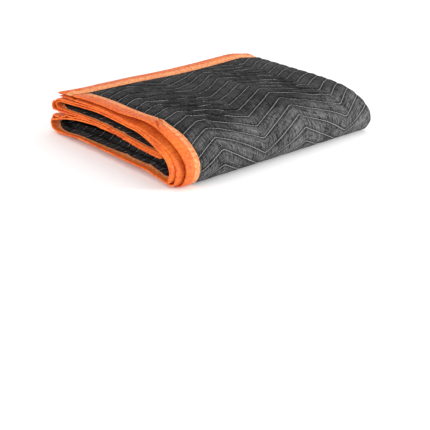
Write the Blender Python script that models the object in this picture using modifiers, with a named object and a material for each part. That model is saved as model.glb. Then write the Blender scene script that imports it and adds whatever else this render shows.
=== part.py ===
"""A quilted moving pad, folded into a flat stack and bound with tape on all four edges.

The pad is one quilted cloth.  It is folded in half across its width, so that it lies in pairs of
leaves, and the pair is then folded back and forth, nose to back, into five passes.  All the cloth
follows one section of folds, drawn in the plane of u (from the back edge to the nose) and z (up):

    back edge -> top pass -> nose -> bottom pass -> back turn -> lower tongue -> tongue turn
              -> upper tongue -> inner back turn -> inner top pass -> inner nose -> inner edge

Flat cloth has two measures: p, across both leaves from one long edge to the other, and q, along
the section.  place() carries a point of the flat cloth to where it lies in the stack.
Metres, +Z up; X runs along the stack from the bound end to the folded end, -Y is the nose.
"""

import math
from typing import NamedTuple

import bmesh
import bpy
import numpy as np

COLLECTION = "moving_pad"

# The flat pad.
PAD_WIDTH = 1.016
HALF_WIDTH = PAD_WIDTH / 2
INNER_EDGE_RUN = 0.043

# Thickness of one leaf and how the leaves lie.
LEAF = 0.0030
LEAF_AT_CREST = 0.0032
LEAF_AT_STITCH = 0.0021
LEAF_IN_BINDING = 0.0012
LEAF_SPACING = 0.0038
PAIR_HALF = LEAF_SPACING / 2

# Binding tape, folded over the edge of the cloth.
TAPE = 0.0005
TAPE_WIDTH = 0.034
INNER_LEAF_FACE_WIDTH = 0.026
SEAT_GAP = 0.0003
TAPE_LIFT = LEAF_IN_BINDING / 2 + SEAT_GAP + TAPE / 2
TAPE_OVERHANG = 0.0009
TAPE_CORNER = 0.66
BOUND_STRIP = TAPE_WIDTH + 0.0015
BOUND_STRIP_END = BOUND_STRIP + 0.0060
CORNER_GAP = 0.0004

# Quilting: zigzag lines of stitching across the width.
STITCH_SPACING = 0.0233
FIRST_STITCH = 0.0026
ZIGZAG_HALF_PERIOD = 0.111
ZIGZAG_HEIGHT = 0.056
ZIGZAG_FIRST_CORNER = 0.090
ZIGZAG_RUN = (0.030, 0.080, 0.150, 0.200)
RELIEF_END_ON_NOSE = 0.72
CREST_STEEPNESS = 2.4

# Level and start of the top pass, at the middle of the pair.
BACK_EDGE_U = -0.003
TOP_Z = 0.079
BOTTOM_Z = LEAF / 2 + PAIR_HALF

# Mesh steps.
MAX_STEP = 0.040
MIN_STEP = 0.003
MAX_TURN = math.radians(23)
END_COLUMN = 0.042
HAIRPIN_STEPS = 4
SHARP_ANGLE = math.radians(40)
CURVE_SAMPLES = 48
STEP_SAMPLES = 200
ROUNDING = 1e-6

# How the stack has settled.
FOLDED_END_X = 0.254
SLACK_BELOW = 0.013
SLACK_ABOVE = 0.041
FOLDED_END_DROOP = 0.006
DROOP_LENGTH = 0.055
BOUND_EDGE_LIFT = 0.0013
LIFT_HEIGHT = 0.061
ARCH = 0.0050
ARCH_LENGTH = 0.150
ARCH_RUN = (-0.005, 0.060, 0.225, 0.290)
ARCH_TOP = (0.016, 0.036)
FLAP_CURL = 0.0048
FLAP_CURL_LENGTH = 0.075
FLAP_CURL_MIDDLE = 0.218
FLAP_CURL_HALF_RUN = 0.075

# Middle of the stack's footprint, in the section's own x and u.
FOOTPRINT_X = -0.00885
FOOTPRINT_U = 0.1424


class Fold(NamedTuple):
    """A turn of the pair: two quarter ellipses that meet at the tip."""

    name: str
    tip_u: float
    tip_z: float
    run_in: float
    z_in: float
    run_out: float
    z_out: float


FOLDS = (
    #     name         tip_u    tip_z   run_in  z_in      run_out  z_out
    Fold("nose",       0.3085,  0.0290, 0.1050, TOP_Z,    0.0160,  BOTTOM_Z),
    Fold("back",      -0.0235,  0.0170, 0.0210, BOTTOM_Z, 0.1050,  0.0455),
    Fold("tongue",     0.2600,  0.0438, 0.0044, 0.0396,   0.0044,  0.0480),
    Fold("inner back", -0.0110, 0.0590, 0.0120, 0.0510,   0.0200,  0.0690),
    Fold("inner nose", 0.3000,  0.0290, 0.1030, 0.0710,   0.0150,  0.0115),
)


class Pass(NamedTuple):
    """A nearly flat run between two turns, with its rise halfway."""

    name: str
    rise: float


PASSES = (
    Pass("top",          0.0),
    Pass("bottom",       0.0),
    Pass("lower tongue", 0.0015),
    Pass("upper tongue", 0.0085),
    Pass("inner top",    0.0),
    Pass("inner edge",   0.0),
)


class Stagger(NamedTuple):
    """How far each leaf's long edge stands in from, or out past (below 0), the bound end."""

    place: str
    share: float
    outer: float
    inner: float
    folded_end: float


STAGGER = (
    #        pass or fold     share  outer    inner    folded end
    Stagger("top",            0.00,  0.0000,  0.0000,  0.0000),
    Stagger("top",            0.90,  0.0005,  0.0000,  -0.0010),
    Stagger("nose",           0.45,  0.0000, -0.0050,  0.0000),
    Stagger("nose",           0.80,  0.0000, -0.0100,  0.0000),
    Stagger("bottom",         0.25,  0.0040, -0.0040,  -0.0020),
    Stagger("bottom",         0.90,  0.0030, -0.0030,  -0.0010),
    Stagger("back",           0.25,  0.0000, -0.0030,  0.0000),
    Stagger("lower tongue",   0.20, -0.0010,  0.0000,  -0.0030),
    Stagger("tongue",         0.50, -0.0020, -0.0010,  -0.0050),
    Stagger("upper tongue",   0.60,  0.0020, -0.0010,  -0.0040),
    Stagger("inner back",     0.50, -0.0040, -0.0010,  -0.0020),
    Stagger("inner top",      0.40,  0.0000, -0.0005,  -0.0030),
    Stagger("inner top",      0.98, -0.0050, -0.0050,  -0.0030),
    Stagger("inner nose",     0.50, -0.0160, -0.0150,  -0.0020),
    Stagger("inner nose",     0.80, -0.0200, -0.0180,  -0.0020),
    Stagger("inner edge",     0.10, -0.0180, -0.0150,  -0.0020),
    Stagger("inner edge",     1.00, -0.0100, -0.0080,  -0.0020),
)


class Skew(NamedTuple):
    """A shift of the top pass along the section, eased in over a stretch of x."""

    start: float
    length: float
    shift: float


SKEWS = (
    #     start   length  shift
    Skew(-0.400,  0.100,  0.005),
    Skew(-0.150,  0.400, -0.026),
)
SKEW_FADE = (0.040, 0.330)


class Swell(NamedTuple):
    """A soft rise or dip of the upper layers, placed in x and u."""

    x: float
    u: float
    half_length: float
    half_width: float
    height: float


SWELLS = (
    #      x       u      half_length  half_width  height
    Swell(-0.190,  0.095, 0.150,       0.075,      0.0040),
    Swell(-0.250, -0.010, 0.090,       0.070,     -0.0045),
    Swell(0.060,   0.060, 0.130,       0.090,     -0.0020),
    Swell(0.110,   0.180, 0.140,       0.090,      0.0020),
    Swell(0.250,   0.050, 0.090,       0.130,      0.0030),
)


def smooth(value):
    """0 below 0, 1 above 1, and an S-curve between them."""
    t = np.clip(value, 0.0, 1.0)
    return t * t * (3 - 2 * t)


def quarter(fold, outgoing):
    """Half of a fold, as u and z along the way the cloth runs."""
    side = math.copysign(1, fold.tip_u)
    run, level = (fold.run_out, fold.z_out) if outgoing else (fold.run_in, fold.z_in)
    turn = np.linspace(0, math.pi / 2, CURVE_SAMPLES)
    if not outgoing:
        turn = turn[::-1]
    u = fold.tip_u - side * run * (1 - np.cos(turn))
    z = fold.tip_z + (level - fold.tip_z) * np.sin(turn)
    return u, z


def straight(run, start, end):
    """A pass between two points, level where it leaves them."""
    t = np.linspace(0, 1, CURVE_SAMPLES)
    u = start[0] + (end[0] - start[0]) * t
    z = start[1] + (end[1] - start[1]) * smooth(t) + run.rise * np.sin(math.pi * t) ** 2
    return u, z


def trace_folds():
    """The passes and turns in order, each a name with its u and z along the way the cloth runs."""
    pieces = []
    here = (BACK_EDGE_U, TOP_Z)
    for run, fold in zip(PASSES, FOLDS):
        into_u, into_z = quarter(fold, False)
        out_u, out_z = quarter(fold, True)
        pieces.append((run.name, *straight(run, here, (into_u[0], into_z[0]))))
        pieces.append((fold.name, np.append(into_u, out_u[1:]), np.append(into_z, out_z[1:])))
        here = (out_u[-1], out_z[-1])
    inner_edge = PASSES[-1]
    pieces.append((inner_edge.name, *straight(inner_edge, here, (here[0] - INNER_EDGE_RUN, here[1]))))
    return pieces


class Section:
    """The line that the middle of the pair follows, measured by its own length q."""

    def __init__(self):
        pieces = trace_folds()
        self.u = np.concatenate([pieces[0][1][:1]] + [u[1:] for _, u, _ in pieces])
        self.z = np.concatenate([pieces[0][2][:1]] + [z[1:] for _, _, z in pieces])
        self.q = np.append(0.0, np.cumsum(np.hypot(np.diff(self.u), np.diff(self.z))))
        self.length = float(self.q[-1])
        slope = np.gradient(self.z, self.q), np.gradient(self.u, self.q)
        self.heading = np.unwrap(np.arctan2(*slope))
        ends = np.cumsum([0] + [len(u) - 1 for _, u, _ in pieces])
        self.spans = {
            name: (float(self.q[start]), float(self.q[end]))
            for (name, _, _), start, end in zip(pieces, ends, ends[1:])
        }
        stations = sorted((self.at_share(row.place, row.share), row) for row in STAGGER)
        self.stations = np.array([q for q, _ in stations])
        self.edges = {
            edge: np.array([getattr(row, edge) for _, row in stations])
            for edge in ("outer", "inner", "folded_end")
        }

    def at_share(self, name, share):
        """The length q at a share of the way through a pass or fold."""
        start, end = self.spans[name]
        return start + share * (end - start)

    def point(self, q):
        """u and z of the pair's middle at length q, and the direction of its outer side."""
        heading = np.interp(q, self.q, self.heading)
        past_end = q - np.clip(q, 0, self.length)
        u = np.interp(q, self.q, self.u) + past_end * np.cos(heading)
        z = np.interp(q, self.q, self.z) + past_end * np.sin(heading)
        return u, z, -np.sin(heading), np.cos(heading)

    def edge(self, q, name):
        """A leaf's edge, or the folded end, at length q, eased from one station to the next."""
        values = self.edges[name]
        index = np.clip(np.searchsorted(self.stations, q) - 1, 0, len(self.stations) - 2)
        start, end = self.stations[index], self.stations[index + 1]
        return values[index] + (values[index + 1] - values[index]) * smooth((q - start) / (end - start))


SECTION = Section()
LEAF_RUN = HALF_WIDTH - math.pi * PAIR_HALF / 2


def settle(x, u, z, inward):
    """Lift and droop of the pair at a point, taken up in the open space between the folds."""
    slack = smooth((z - SLACK_BELOW) / (SLACK_ABOVE - SLACK_BELOW))
    droop = FOLDED_END_DROOP * smooth(1 + (x - FOLDED_END_X) / DROOP_LENGTH)
    lift = BOUND_EDGE_LIFT * (1 - smooth(inward / BOUND_STRIP_END)) * (1 - smooth(z / LIFT_HEIGHT))
    rise = lift + arch(x, u, z) - droop * slack
    for swell in SWELLS:
        away = np.hypot((x - swell.x) / swell.half_length, (u - swell.u) / swell.half_width)
        rise = rise + swell.height * slack * (1 - smooth(away / 2))
    return rise


def arch(x, u, z):
    """How far the bottom pass stands off the floor between its two folds, at the bound end."""
    start, full, fading, end = ARCH_RUN
    along = smooth((u - start) / (full - start)) * (1 - smooth((u - fading) / (end - fading)))
    below = 1 - smooth((z - ARCH_TOP[0]) / (ARCH_TOP[1] - ARCH_TOP[0]))
    return ARCH * along * below * (1 - smooth((x + FOLDED_END_X) / ARCH_LENGTH))


def skewed(x, q):
    """The length q shifted by the skew of the top pass, which is taken up before the nose turns under."""
    start, end = SKEW_FADE
    shift = sum(skew.shift * smooth((x - skew.start) / skew.length) for skew in SKEWS)
    return q + shift * np.clip((end - q) / (end - start), 0.0, 1.0)


def flap_curl(p, q):
    """How far the top leaf's edge curls away from the leaf below it."""
    along = 1 - smooth(np.abs(q - FLAP_CURL_MIDDLE) / FLAP_CURL_HALF_RUN)
    return FLAP_CURL * along * (1 - smooth(p / FLAP_CURL_LENGTH))


def place(p, q, w):
    """Carry points of the flat cloth (p across, q along, w off its middle) into the stack."""
    p, q, w = (np.asarray(value, dtype=float) for value in (p, q, w))
    folded = FOLDED_END_X + SECTION.edge(q, "folded_end")
    outer = SECTION.edge(q, "outer") - FOLDED_END_X
    inner = SECTION.edge(q, "inner") - FOLDED_END_X
    turn = np.clip((p - LEAF_RUN) / PAIR_HALF, 0, math.pi)
    on_outer = p < LEAF_RUN
    across = np.where(on_outer, p, PAD_WIDTH - p) / LEAF_RUN
    bound = np.where(on_outer, outer, inner)
    straight_x = bound + (folded - bound) * np.minimum(across, 1.0)
    u, z, normal_u, normal_z = SECTION.point(skewed(straight_x, q))
    x = straight_x + (PAIR_HALF + w) * np.sin(turn)
    off = (PAIR_HALF + w) * np.cos(turn) + np.where(on_outer, flap_curl(p, q), 0.0)
    level = z + settle(straight_x, u, z, across * LEAF_RUN) + off * normal_z
    return np.stack((x - FOOTPRINT_X, FOOTPRINT_U - u - off * normal_u, level), axis=-1)


def stitch_rows():
    """Lengths q of the stitching lines and of the crests between them, top pass and nose."""
    end = SECTION.at_share("nose", RELIEF_END_ON_NOSE)
    half = STITCH_SPACING / 2
    first = FIRST_STITCH + half * math.ceil((BOUND_STRIP_END - FIRST_STITCH) / half)
    return [first + half * step for step in range(int((end - first) / half) + 1)]


def section_rows(start, end):
    """Lengths q between start and end, close enough together for the turns between them."""
    base = [start, *(q for q in stitch_rows() if start + MIN_STEP < q < end - MIN_STEP), end]
    for _, joint in SECTION.spans.values():
        if start < joint < end and min(abs(joint - q) for q in base) > MIN_STEP:
            base.append(joint)
    base.sort()
    rows = [start]
    for low, high in zip(base, base[1:]):
        lengths = np.linspace(low, high, STEP_SAMPLES)
        headings = np.interp(lengths, SECTION.q, SECTION.heading)
        turns = abs(headings[-1] - headings[0]) / MAX_TURN
        steps = max(1, math.ceil(max(turns, (high - low) / MAX_STEP) - ROUNDING))
        effort = np.cumsum(np.abs(np.gradient(headings, lengths)) + MAX_TURN / MAX_STEP)
        shares = np.linspace(effort[0], effort[-1], steps + 1)
        rows += list(np.interp(shares[1:], effort, lengths))
    return rows


def cloth_columns():
    """Measures p across the pad, with a column at each corner of the zigzag."""
    end_columns = [LEAF_RUN - END_COLUMN, LEAF_RUN - END_COLUMN / 2]
    corners = np.arange(ZIGZAG_FIRST_CORNER, end_columns[0], ZIGZAG_HALF_PERIOD)
    leaf = [0.0, BOUND_STRIP, BOUND_STRIP_END, *corners, *end_columns]
    hairpin = math.pi * PAIR_HALF
    turns = [LEAF_RUN + hairpin * step / HAIRPIN_STEPS for step in range(HAIRPIN_STEPS + 1)]
    return leaf + turns + [PAD_WIDTH - p for p in reversed(leaf)]


def zigzag(p):
    """Offset of the stitching along q: a triangle wave with corners a half period apart."""
    phase = (p - ZIGZAG_FIRST_CORNER) / ZIGZAG_HALF_PERIOD
    return -ZIGZAG_HEIGHT / 2 * (1 - 2 * np.abs((phase + 1) % 2 - 1))


def zigzag_share(p, q):
    """Where the rows of the mesh follow the zigzag: only on the flat part of the top pass."""
    start, full, fading, end = ZIGZAG_RUN
    along = smooth((q - start) / (full - start)) * (1 - smooth((q - fading) / (end - fading)))
    return along * np.where((p > BOUND_STRIP_END) & (p < LEAF_RUN), 1.0, 0.0)


def leaf_thickness(p, q):
    """Thickness of the cloth: thin under the binding, drawn in at each line of stitching."""
    if min(p, PAD_WIDTH - p, q, SECTION.length - q) < BOUND_STRIP + ROUNDING:
        return LEAF_IN_BINDING
    if q > stitch_rows()[-1] + STITCH_SPACING / 4 or p > LEAF_RUN:
        return LEAF
    away = abs((q - FIRST_STITCH + STITCH_SPACING / 2) % STITCH_SPACING - STITCH_SPACING / 2)
    crest = float(smooth(CREST_STEEPNESS * away / STITCH_SPACING))
    return LEAF_AT_STITCH + (LEAF_AT_CREST - LEAF_AT_STITCH) * crest


def sheet_object(name, material, columns, rows, point, thickness):
    """A grid bent into shape by point(column, row) and made solid.

    thickness is one number, or a function of column and row.
    """
    grid = bmesh.new()
    bmesh.ops.create_grid(grid, x_segments=len(columns) - 1, y_segments=len(rows) - 1, size=1.0)
    cells = []
    for vert in grid.verts:
        column = columns[round((vert.co.x + 1) / 2 * (len(columns) - 1))]
        row = rows[round((vert.co.y + 1) / 2 * (len(rows) - 1))]
        vert.co = point(column, row)
        cells.append((column, row))
    mesh = bpy.data.meshes.new(name)
    grid.to_mesh(mesh)
    grid.free()
    mesh.materials.append(material)
    piece = bpy.data.objects.new(name, mesh)
    bpy.data.collections[COLLECTION].objects.link(piece)
    solid = piece.modifiers.new("Thickness", "SOLIDIFY")
    solid.offset = 0.0
    if callable(thickness):
        sizes = [thickness(column, row) for column, row in cells]
        group = piece.vertex_groups.new(name="thickness")
        for vertex, size in enumerate(sizes):
            group.add([vertex], size / max(sizes), "REPLACE")
        solid.vertex_group = group.name
        solid.thickness = max(sizes)
    else:
        solid.thickness = thickness
    mesh.shade_smooth()
    mesh.set_sharp_from_angle(angle=SHARP_ANGLE)


def make_material(name, colour, roughness):
    """A plain cloth finish."""
    material = bpy.data.materials.new(name)
    material.use_nodes = True
    shader = material.node_tree.nodes["Principled BSDF"]
    shader.inputs["Base Color"].default_value = (*colour, 1.0)
    shader.inputs["Roughness"].default_value = roughness
    shader.inputs["Metallic"].default_value = 0.0
    return material


def add_quilted_cloth(material):
    """The quilted cloth of the whole pad, in all its folds."""
    rows = [0.0, BOUND_STRIP]
    rows += section_rows(BOUND_STRIP_END, SECTION.length - BOUND_STRIP_END)
    rows += [SECTION.length - BOUND_STRIP, SECTION.length]

    def point(p, q):
        shift = float(zigzag(p) * zigzag_share(p, q))
        return place(p, q + shift, 0.0)

    sheet_object("quilted_cloth", material, cloth_columns(), rows, point, leaf_thickness)


def tape_profile(face_width=TAPE_WIDTH):
    """Distance in from the edge and height off the cloth's middle, round the folded tape."""
    return [
        (face_width, TAPE_LIFT),
        (0.0, TAPE_LIFT),
        (-TAPE_OVERHANG, TAPE_LIFT * TAPE_CORNER),
        (-TAPE_OVERHANG, -TAPE_LIFT * TAPE_CORNER),
        (0.0, -TAPE_LIFT),
        (TAPE_WIDTH, -TAPE_LIFT),
    ]


def add_long_binding(name, material, face_width, far_side):
    """Tape along a long edge, between the tapes of the two short edges."""
    start = TAPE_WIDTH + CORNER_GAP
    rows = [start, BOUND_STRIP]
    rows += section_rows(BOUND_STRIP_END, SECTION.length - BOUND_STRIP_END)
    rows += [SECTION.length - BOUND_STRIP, SECTION.length - start]

    def point(profile, q):
        inward, height = profile
        return place(PAD_WIDTH - inward if far_side else inward, q, height)

    sheet_object(name, material, tape_profile(face_width), rows, point, TAPE)


def add_short_binding(name, material, far_end):
    """Tape along a short edge, through the corners, round the first fold of the pad."""

    def point(profile, p):
        inward, height = profile
        return place(p, SECTION.length - inward if far_end else inward, height)

    sheet_object(name, material, tape_profile(), cloth_columns(), point, TAPE)


def main():
    """Clear the file and build the pad."""
    for item in list(bpy.data.objects):
        bpy.data.objects.remove(item, do_unlink=True)
    bpy.context.scene.collection.children.link(bpy.data.collections.new(COLLECTION))
    charcoal = make_material("charcoal_nonwoven", (0.045, 0.045, 0.048), 0.95)
    orange = make_material("orange_tape", (0.86, 0.20, 0.04), 0.75)
    add_quilted_cloth(charcoal)
    add_long_binding("binding_outer_leaf", orange, TAPE_WIDTH, far_side=False)
    add_long_binding("binding_inner_leaf", orange, INNER_LEAF_FACE_WIDTH, far_side=True)
    add_short_binding("binding_top_edge", orange, far_end=False)
    add_short_binding("binding_inner_edge", orange, far_end=True)


main()
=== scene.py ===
"""A quilted moving pad, folded into a flat stack and bound with orange tape.

The pad is one charcoal quilted cloth.  It is folded in half across its width, so that it lies in
pairs of leaves, and the pair is then folded back and forth into five passes.  Flat cloth has two
measures: p, across both leaves from one long edge to the other, and q, along the folds.
FoldedStack carries a point of the flat cloth to where it lies in the stack, and every piece here
is drawn flat first and then laid into the folds by it.

Metres, +Z up.  X runs along the stack from the bound end to the folded end, and -Y is the nose.
"""

import logging
import math
from dataclasses import dataclass, field
from enum import Enum
from typing import Callable

import bmesh
import bpy
import numpy as np
from mathutils import Matrix, Vector


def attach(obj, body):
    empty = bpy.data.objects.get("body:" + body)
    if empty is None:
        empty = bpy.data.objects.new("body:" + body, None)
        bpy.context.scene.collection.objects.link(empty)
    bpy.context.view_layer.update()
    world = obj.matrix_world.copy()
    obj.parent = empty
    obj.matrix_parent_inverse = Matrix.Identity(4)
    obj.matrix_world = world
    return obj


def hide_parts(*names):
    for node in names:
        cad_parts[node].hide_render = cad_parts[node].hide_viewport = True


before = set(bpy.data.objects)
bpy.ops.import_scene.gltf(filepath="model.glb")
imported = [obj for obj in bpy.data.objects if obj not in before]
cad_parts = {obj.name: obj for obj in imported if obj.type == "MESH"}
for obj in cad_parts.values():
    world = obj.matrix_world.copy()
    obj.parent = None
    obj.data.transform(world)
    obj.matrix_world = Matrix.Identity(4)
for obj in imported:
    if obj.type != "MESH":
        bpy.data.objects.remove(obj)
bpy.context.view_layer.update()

LOG = logging.getLogger("moving_pad")
MM = 0.001
UV_PER_METRE = 0.5

Array = np.ndarray
BMesh = bmesh.types.BMesh
Material = bpy.types.Material
Piece = bpy.types.Object
Socket = bpy.types.NodeSocket
Lay = Callable[[Array, Array, Array], Array]
Measure = Callable[[Array, Array], Array]


class Edge(Enum):
    """The four bound edges of the flat pad, by the names that their pieces carry."""

    OUTER_LEAF = "outer_leaf"
    INNER_LEAF = "inner_leaf"
    TOP = "top_edge"
    INNER = "inner_edge"


def smooth(value: Array | float) -> Array:
    """An S-curve from 0, at 0 and below, to 1, at 1 and above."""
    t = np.clip(value, 0.0, 1.0)
    return t * t * (3 - 2 * t)


def fade(value: Array | float, length: float, start: float = 0.0) -> Array:
    """1 up to the start, easing to 0 over the length after it."""
    return 1 - smooth((value - start) / length)


def window(value: Array, start: float, full: float, fading: float, end: float) -> Array:
    """1 from full to fading, easing to 0 at the start and at the end."""
    return smooth((value - start) / (full - start)) * fade(value, end - fading, fading)


@dataclass(frozen=True)
class Unevenness:
    """Smooth random unevenness in cells of a size, the same each time for the same seed."""

    seed: int
    cell_x: float
    cell_y: float = 1.0
    table_size: int = 64

    def at(self, x: Array, y: Array | float = 0.0) -> Array:
        """The unevenness at points.

        Args:
            x: First measure.
            y: Second measure.

        Returns:
            Values between -1 and 1 that change over about one cell.
        """
        size = self.table_size
        table = np.random.default_rng(self.seed).uniform(-1, 1, (size, size))
        x, y = np.broadcast_arrays(np.asarray(x, float) / self.cell_x, np.asarray(y, float) / self.cell_y)
        column, row = np.floor(x).astype(int), np.floor(y).astype(int)
        across, up = smooth(x - column), smooth(y - row)
        column, row = column % size, row % size
        right, above = (column + 1) % size, (row + 1) % size
        low = table[row, column] * (1 - across) + table[row, right] * across
        high = table[above, column] * (1 - across) + table[above, right] * across
        return low * (1 - up) + high * up

    def share(self, x: Array, y: Array | float = 0.0) -> Array:
        """The same between 0 and 1."""
        return 0.5 + 0.5 * self.at(x, y)


@dataclass(frozen=True)
class Fold:
    """A turn of the pair: two quarter ellipses that meet at the tip."""

    name: str
    tip_u: float
    tip_z: float
    run_in: float
    z_in: float
    run_out: float
    z_out: float

    def points(self, samples: int) -> tuple[Array, Array]:
        """The turn along the way that the cloth runs.

        Args:
            samples: How many points each quarter has.

        Returns:
            u and z of the points.
        """
        quarter = np.linspace(0, math.pi / 2, samples)
        turn = np.append(quarter[::-1], quarter[1:])
        incoming = np.arange(len(turn)) < samples
        run = np.where(incoming, self.run_in, self.run_out)
        level = np.where(incoming, self.z_in, self.z_out)
        u = self.tip_u - math.copysign(1, self.tip_u) * run * (1 - np.cos(turn))
        return u, self.tip_z + (level - self.tip_z) * np.sin(turn)


@dataclass(frozen=True)
class Swell:
    """A soft rise or dip of the upper layers, placed in x and u."""

    x: float
    u: float
    half_length: float
    half_width: float
    height: float

    def rise(self, x: Array, u: Array) -> Array:
        """How far it lifts the layers at a point."""
        away = np.hypot((x - self.x) / self.half_length, (u - self.u) / self.half_width)
        return self.height * fade(away, 2)


@dataclass(frozen=True)
class Skew:
    """A shift of the top pass along the folds, eased in over a stretch of x."""

    start: float
    length: float
    shift: float

    def at(self, x: Array) -> Array:
        """The shift at a place along the stack."""
        return self.shift * smooth((x - self.start) / self.length)


@dataclass(frozen=True)
class Crease:
    """A soft ridge, or a trough where its height is below 0, drawn on the flat cloth."""

    p: float
    q: float
    heading: float
    half_length: float
    half_width: float
    height: float
    bow: float = 0.0

    def rise(self, p: Array, q: Array) -> Array:
        """How far it stands off the cloth.

        Args:
            p: Measure across the pad.
            q: Measure along the folds.

        Returns:
            The height at each point.
        """
        turn = math.radians(self.heading)
        along = (p - self.p) * math.cos(turn) + (q - self.q) * math.sin(turn)
        across = (q - self.q) * math.cos(turn) - (p - self.p) * math.sin(turn)
        across = across - self.bow * (along / self.half_length) ** 2
        ends = fade(np.abs(along), self.half_length)
        return self.height * ends * np.exp(-((across / self.half_width) ** 2))


TOP_Z = 0.079
LEAF = 0.0030
PAIR_HALF = 0.0019
BOTTOM_Z = LEAF / 2 + PAIR_HALF


@dataclass
class FoldedStack:
    """How the flat pad lies in its folds, with the same folds and sizes as the solid."""

    pad_width: float = 1.016
    inner_edge_run: float = 0.043
    back_edge_u: float = -0.003
    folded_end_x: float = 0.254
    footprint_x: float = -0.00885
    footprint_u: float = 0.1424
    samples: int = 48
    slack_below: float = 0.013
    slack_above: float = 0.041
    droop: float = 0.006
    droop_length: float = 0.055
    bound_strip_end: float = 0.0415
    edge_lift: float = 0.0013
    lift_height: float = 0.061
    arch_height: float = 0.0050
    arch_length: float = 0.150
    arch_run: tuple = (-0.005, 0.060, 0.225, 0.290)
    # the height over which the arch fades out, and where that starts
    arch_top: tuple = (0.020, 0.016)
    curl: float = 0.0048
    curl_length: float = 0.075
    curl_middle: float = 0.218
    curl_half_run: float = 0.075
    skew_fade: tuple = (0.040, 0.330)
    skews: tuple = (Skew(-0.400, 0.100, 0.005), Skew(-0.150, 0.400, -0.026))
    folds: tuple = (
        #     name          tip_u    tip_z   run_in  z_in      run_out  z_out
        Fold("nose",        0.3085,  0.0290, 0.1050, TOP_Z,    0.0160,  BOTTOM_Z),
        Fold("back",       -0.0235,  0.0170, 0.0210, BOTTOM_Z, 0.1050,  0.0455),
        Fold("tongue",      0.2600,  0.0438, 0.0044, 0.0396,   0.0044,  0.0480),
        Fold("inner back", -0.0110,  0.0590, 0.0120, 0.0510,   0.0200,  0.0690),
        Fold("inner nose",  0.3000,  0.0290, 0.1030, 0.0710,   0.0150,  0.0115),
    )
    passes: tuple = (
        # the pass before each fold, and the last one, each with its rise halfway
        ("top", 0.0),
        ("bottom", 0.0),
        ("lower tongue", 0.0015),
        ("upper tongue", 0.0085),
        ("inner top", 0.0),
        ("inner edge", 0.0),
    )
    staggers: tuple = (
        # how far each edge stands in from, or out past (below 0), its end of the stack
        # place        share  outer    inner   folded end
        ("top",          0.00,  0.0000,  0.0000,  0.0000),
        ("top",          0.90,  0.0005,  0.0000, -0.0010),
        ("nose",         0.45,  0.0000, -0.0050,  0.0000),
        ("nose",         0.80,  0.0000, -0.0100,  0.0000),
        ("bottom",       0.25,  0.0040, -0.0040, -0.0020),
        ("bottom",       0.90,  0.0030, -0.0030, -0.0010),
        ("back",         0.25,  0.0000, -0.0030,  0.0000),
        ("lower tongue", 0.20, -0.0010,  0.0000, -0.0030),
        ("tongue",       0.50, -0.0020, -0.0010, -0.0050),
        ("upper tongue", 0.60,  0.0020, -0.0010, -0.0040),
        ("inner back",   0.50, -0.0040, -0.0010, -0.0020),
        ("inner top",    0.40,  0.0000, -0.0005, -0.0030),
        ("inner top",    0.98, -0.0050, -0.0050, -0.0030),
        ("inner nose",   0.50, -0.0160, -0.0150, -0.0020),
        ("inner nose",   0.80, -0.0200, -0.0180, -0.0020),
        ("inner edge",   0.10, -0.0180, -0.0150, -0.0020),
        ("inner edge",   1.00, -0.0100, -0.0080, -0.0020),
    )
    swells: tuple = (
        #      x       u      half_length  half_width  height
        Swell(-0.190,  0.095, 0.150,       0.075,      0.0040),
        Swell(-0.250, -0.010, 0.090,       0.070,     -0.0045),
        Swell(0.060,   0.060, 0.130,       0.090,     -0.0020),
        Swell(0.110,   0.180, 0.140,       0.090,      0.0020),
        Swell(0.250,   0.050, 0.090,       0.130,      0.0030),
    )
    spans: dict = field(init=False)
    length: float = field(init=False)
    leaf_run: float = field(init=False)

    def __post_init__(self) -> None:
        """Draws the section and sets the stations of the edges along it."""
        pieces = self.trace()
        self.line_u = np.concatenate([pieces[0][1][:1]] + [u[1:] for _, u, _ in pieces])
        self.line_z = np.concatenate([pieces[0][2][:1]] + [z[1:] for _, _, z in pieces])
        steps = np.hypot(np.diff(self.line_u), np.diff(self.line_z))
        self.line_q = np.append(0.0, np.cumsum(steps))
        self.length = float(self.line_q[-1])
        self.leaf_run = self.pad_width / 2 - math.pi * PAIR_HALF / 2
        slope = np.gradient(self.line_z, self.line_q), np.gradient(self.line_u, self.line_q)
        self.heading = np.unwrap(np.arctan2(*slope))
        ends = self.line_q[np.cumsum([0] + [len(u) - 1 for _, u, _ in pieces])]
        self.spans = {
            name: (float(start), float(end)) for (name, _, _), start, end in zip(pieces, ends, ends[1:])
        }
        rows = sorted(self.staggers, key=lambda row: self.at_share(*row[:2]))
        self.stations = np.array([self.at_share(*row[:2]) for row in rows])
        self.edges = dict(zip(("outer", "inner", "folded_end"), np.array([row[2:] for row in rows]).T))

    def run(self, start: tuple, end: tuple, rise: float) -> tuple[Array, Array]:
        """A nearly flat pass between two points, level where it leaves them.

        Args:
            start: u and z where it starts.
            end: u and z where it ends.
            rise: How far it rises halfway.

        Returns:
            u and z along the way that the cloth runs.
        """
        t = np.linspace(0, 1, self.samples)
        z = start[1] + (end[1] - start[1]) * smooth(t) + rise * np.sin(math.pi * t) ** 2
        return start[0] + (end[0] - start[0]) * t, z

    def trace(self) -> list[tuple[str, Array, Array]]:
        """The whole section.

        Returns:
            The passes and turns in order, each a name with its u and z.
        """
        pieces, here = [], (self.back_edge_u, TOP_Z)
        for (name, rise), fold in zip(self.passes, self.folds):
            u, z = fold.points(self.samples)
            pieces += [(name, *self.run(here, (u[0], z[0]), rise)), (fold.name, u, z)]
            here = (u[-1], z[-1])
        name, rise = self.passes[-1]
        pieces.append((name, *self.run(here, (here[0] - self.inner_edge_run, here[1]), rise)))
        return pieces

    def at_share(self, name: str, share: float) -> float:
        """The length q at a share of the way through a pass or fold."""
        start, end = self.spans[name]
        return start + share * (end - start)

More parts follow.
